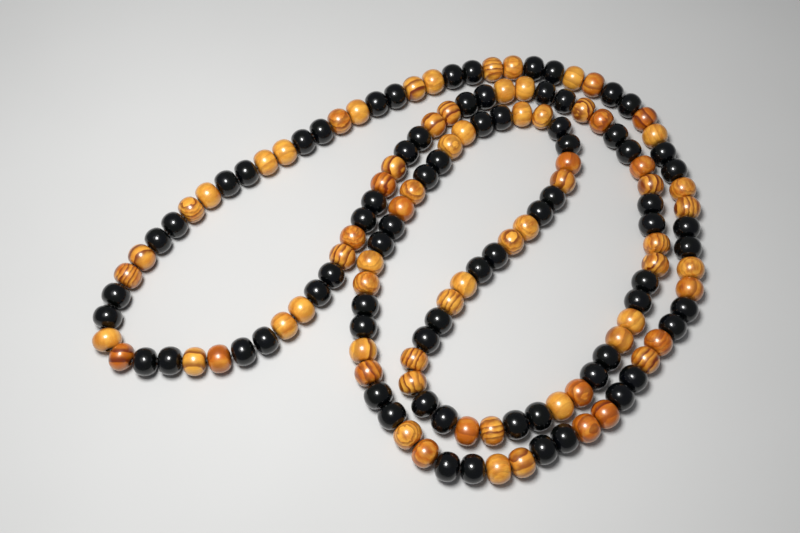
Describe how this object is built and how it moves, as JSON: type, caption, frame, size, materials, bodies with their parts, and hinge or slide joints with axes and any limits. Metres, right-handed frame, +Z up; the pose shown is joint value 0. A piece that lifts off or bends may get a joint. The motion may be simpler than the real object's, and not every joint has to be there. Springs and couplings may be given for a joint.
{
  "type": "mala prayer beads",
  "caption": "Closed strand of round varnished wood and black lacquered beads on a limp cord, lying in folded loops; the end loop lifts along fold lines and its beads turn.",
  "frame": {"origin": "middle of the strand's footprint, on the surface that the beads rest on", "axes": "+Z up, +X along the longer side of the heap towards the folded inner loops, +Y away from the usual viewer"},
  "size_m": [0.1733, 0.1385, 0.008],
  "materials": {
    "wood_bead": "honey-coloured turned softwood with reddish growth rings under gloss varnish",
    "black_bead": "turned wood under thick black gloss lacquer",
    "cord": "twisted black nylon cord"
  },
  "bodies": {
    "main_strand": {"black_beads_outer_upper_left": "black_bead", "wood_beads_outer_upper_left": "wood_bead", "black_beads_outer_upper_right": "black_bead", "wood_beads_outer_upper_right": "wood_bead", "black_beads_outer_right": "black_bead", "wood_beads_outer_right": "wood_bead", "black_beads_outer_lower_right": "black_bead", "wood_beads_outer_lower_right": "wood_bead", "black_beads_outer_bottom": "black_bead", "wood_beads_outer_bottom": "wood_bead", "black_beads_middle_rise": "black_bead", "wood_beads_middle_rise": "wood_bead", "black_beads_hairpin": "black_bead", "wood_beads_hairpin": "wood_bead", "black_beads_diagonal": "black_bead", "wood_beads_diagonal": "wood_bead", "black_beads_inner_bottom": "black_bead", "wood_beads_inner_bottom": "wood_bead", "black_beads_inner_right": "black_bead", "wood_beads_inner_right": "wood_bead", "black_beads_inner_top": "black_bead", "wood_beads_inner_top": "wood_bead", "black_beads_middle_fall": "black_bead", "wood_beads_middle_fall": "wood_bead", "cord_main": "cord", "cord_knot": "cord"},
    "fold_section_1": {"cord_lower_1": "cord", "cord_upper_1": "cord"},
    "fold_section_2": {"cord_lower_2": "cord", "cord_upper_2": "cord"},
    "fold_section_3": {"cord_lower_3": "cord", "cord_upper_3": "cord"},
    "fold_section_4": {"cord_lower_4": "cord", "cord_upper_4": "cord"},
    "loop_tip": {"cord_tip": "cord"},
    "loop_bead_01": {"black_bead_01": "black_bead"},
    "loop_bead_02": {"wood_bead_02": "wood_bead"},
    "loop_bead_03": {"wood_bead_03": "wood_bead"},
    "loop_bead_04": {"black_bead_04": "black_bead"},
    "loop_bead_05": {"black_bead_05": "black_bead"},
    "loop_bead_06": {"wood_bead_06": "wood_bead"},
    "loop_bead_07": {"wood_bead_07": "wood_bead"},
    "loop_bead_08": {"black_bead_08": "black_bead"},
    "loop_bead_09": {"black_bead_09": "black_bead"},
    "loop_bead_10": {"wood_bead_10": "wood_bead"},
    "loop_bead_11": {"wood_bead_11": "wood_bead"},
    "loop_bead_12": {"black_bead_12": "black_bead"},
    "loop_bead_13": {"black_bead_13": "black_bead"},
    "loop_bead_14": {"wood_bead_14": "wood_bead"},
    "loop_bead_15": {"wood_bead_15": "wood_bead"},
    "loop_bead_16": {"black_bead_16": "black_bead"},
    "loop_bead_17": {"black_bead_17": "black_bead"},
    "loop_bead_18": {"wood_bead_18": "wood_bead"},
    "loop_bead_19": {"wood_bead_19": "wood_bead"},
    "loop_bead_20": {"black_bead_20": "black_bead"},
    "loop_bead_21": {"black_bead_21": "black_bead"},
    "loop_bead_22": {"wood_bead_22": "wood_bead"},
    "loop_bead_23": {"wood_bead_23": "wood_bead"},
    "loop_bead_24": {"black_bead_24": "black_bead"}
  },
  "joints": [
    {"name": "fold_1", "type": "hinge", "parent": "main_strand", "child": "fold_section_1", "pos_m": [-0.02354, -0.01602, 0.004], "axis": [-0.1794, 0.9838, 0], "range_deg": [0, 18]},
    {"name": "fold_2", "type": "hinge", "parent": "fold_section_1", "child": "fold_section_2", "pos_m": [-0.03137, -0.02687, 0.004], "axis": [-0.3347, 0.9423, 0], "range_deg": [0, 18]},
    {"name": "fold_3", "type": "hinge", "parent": "fold_section_2", "child": "fold_section_3", "pos_m": [-0.04091, -0.03619, 0.004], "axis": [-0.4563, 0.8898, 0], "range_deg": [0, 18]},
    {"name": "fold_4", "type": "hinge", "parent": "fold_section_3", "child": "fold_section_4", "pos_m": [-0.05325, -0.04122, 0.004], "axis": [-0.4286, 0.9035, 0], "range_deg": [0, 18]},
    {"name": "fold_5", "type": "hinge", "parent": "fold_section_4", "child": "loop_tip", "pos_m": [-0.06659, -0.04231, 0.004], "axis": [-0.552, 0.8338, 0], "range_deg": [0, 18]},
    {"name": "turn_01", "type": "hinge", "parent": "fold_section_1", "child": "loop_bead_01", "pos_m": [-0.02536, -0.01883, 0.004], "axis": [-0.5711, -0.8209, 0], "continuous": true},
    {"name": "turn_02", "type": "hinge", "parent": "fold_section_1", "child": "loop_bead_02", "pos_m": [-0.02928, -0.02425, 0.004], "axis": [-0.6109, -0.7917, 0], "continuous": true},
    {"name": "turn_03", "type": "hinge", "parent": "fold_section_2", "child": "loop_bead_03", "pos_m": [-0.03354, -0.02941, 0.004], "axis": [-0.6631, -0.7485, 0], "continuous": true},
    {"name": "turn_04", "type": "hinge", "parent": "fold_section_2", "child": "loop_bead_04", "pos_m": [-0.03823, -0.03419, 0.004], "axis": [-0.7663, -0.6425, 0], "continuous": true},
    {"name": "turn_05", "type": "hinge", "parent": "fold_section_3", "child": "loop_bead_05", "pos_m": [-0.04382, -0.03786, 0.004], "axis": [-0.8939, -0.4482, 0], "continuous": true},
    {"name": "turn_06", "type": "hinge", "parent": "fold_section_3", "child": "loop_bead_06", "pos_m": [-0.05, -0.04041, 0.004], "axis": [-0.955, -0.2966, 0], "continuous": true},
    {"name": "turn_07", "type": "hinge", "parent": "fold_section_4", "child": "loop_bead_07", "pos_m": [-0.05657, -0.04166, 0.004], "axis": [-0.9972, -0.0753, 0], "continuous": true},
    {"name": "turn_08", "type": "hinge", "parent": "fold_section_4", "child": "loop_bead_08", "pos_m": [-0.06326, -0.04198, 0.004], "axis": [-0.9975, -0.071, 0], "continuous": true},
    {"name": "turn_09", "type": "hinge", "parent": "loop_tip", "child": "loop_bead_09", "pos_m": [-0.0699, -0.04275, 0.004], "axis": [-0.9965, -0.0838, 0], "continuous": true},
    {"name": "turn_10", "type": "hinge", "parent": "loop_tip", "child": "loop_bead_10", "pos_m": [-0.07654, -0.04189, 0.004], "axis": [-0.9263, 0.3768, 0], "continuous": true},
    {"name": "turn_11", "type": "hinge", "parent": "loop_tip", "child": "loop_bead_11", "pos_m": [-0.08147, -0.03737, 0.004], "axis": [-0.4292, 0.9032, 0], "continuous": true},
    {"name": "turn_12", "type": "hinge", "parent": "loop_tip", "child": "loop_bead_12", "pos_m": [-0.0827, -0.03079, 0.004], "axis": [0.0317, 0.9995, 0], "continuous": true},
    {"name": "turn_13", "type": "hinge", "parent": "loop_tip", "child": "loop_bead_13", "pos_m": [-0.08167, -0.02418, 0.004], "axis": [0.2696, 0.963, 0], "continuous": true},
    {"name": "turn_14", "type": "hinge", "parent": "fold_section_4", "child": "loop_bead_14", "pos_m": [-0.07953, -0.01785, 0.004], "axis": [0.3844, 0.9232, 0], "continuous": true},
    {"name": "turn_15", "type": "hinge", "parent": "fold_section_4", "child": "loop_bead_15", "pos_m": [-0.07669, -0.01179, 0.004], "axis": [0.4762, 0.8794, 0], "continuous": true},
    {"name": "turn_16", "type": "hinge", "parent": "fold_section_4", "child": "loop_bead_16", "pos_m": [-0.07311, -0.00613, 0.004], "axis": [0.5711, 0.8209, 0], "continuous": true},
    {"name": "turn_17", "type": "hinge", "parent": "fold_section_3", "child": "loop_bead_17", "pos_m": [-0.06926, -0.00066, 0.004], "axis": [0.5846, 0.8113, 0], "continuous": true},
    {"name": "turn_18", "type": "hinge", "parent": "fold_section_3", "child": "loop_bead_18", "pos_m": [-0.06529, 0.00472, 0.004], "axis": [0.6042, 0.7968, 0], "continuous": true},
    {"name": "turn_19", "type": "hinge", "parent": "fold_section_2", "child": "loop_bead_19", "pos_m": [-0.06107, 0.00991, 0.004], "axis": [0.6813, 0.732, 0], "continuous": true},
    {"name": "turn_20", "type": "hinge", "parent": "fold_section_2", "child": "loop_bead_20", "pos_m": [-0.05614, 0.01444, 0.004], "axis": [0.7849, 0.6196, 0], "continuous": true},
    {"name": "turn_21", "type": "hinge", "parent": "fold_section_2", "child": "loop_bead_21", "pos_m": [-0.05088, 0.01857, 0.004], "axis": [0.7894, 0.6139, 0], "continuous": true},
    {"name": "turn_22", "type": "hinge", "parent": "fold_section_1", "child": "loop_bead_22", "pos_m": [-0.04558, 0.02265, 0.004], "axis": [0.7927, 0.6096, 0], "continuous": true},
    {"name": "turn_23", "type": "hinge", "parent": "fold_section_1", "child": "loop_bead_23", "pos_m": [-0.04031, 0.02678, 0.004], "axis": [0.7823, 0.6229, 0], "continuous": true},
    {"name": "turn_24", "type": "hinge", "parent": "fold_section_1", "child": "loop_bead_24", "pos_m": [-0.0351, 0.03098, 0.004], "axis": [0.7776, 0.6287, 0], "continuous": true}
  ]
}
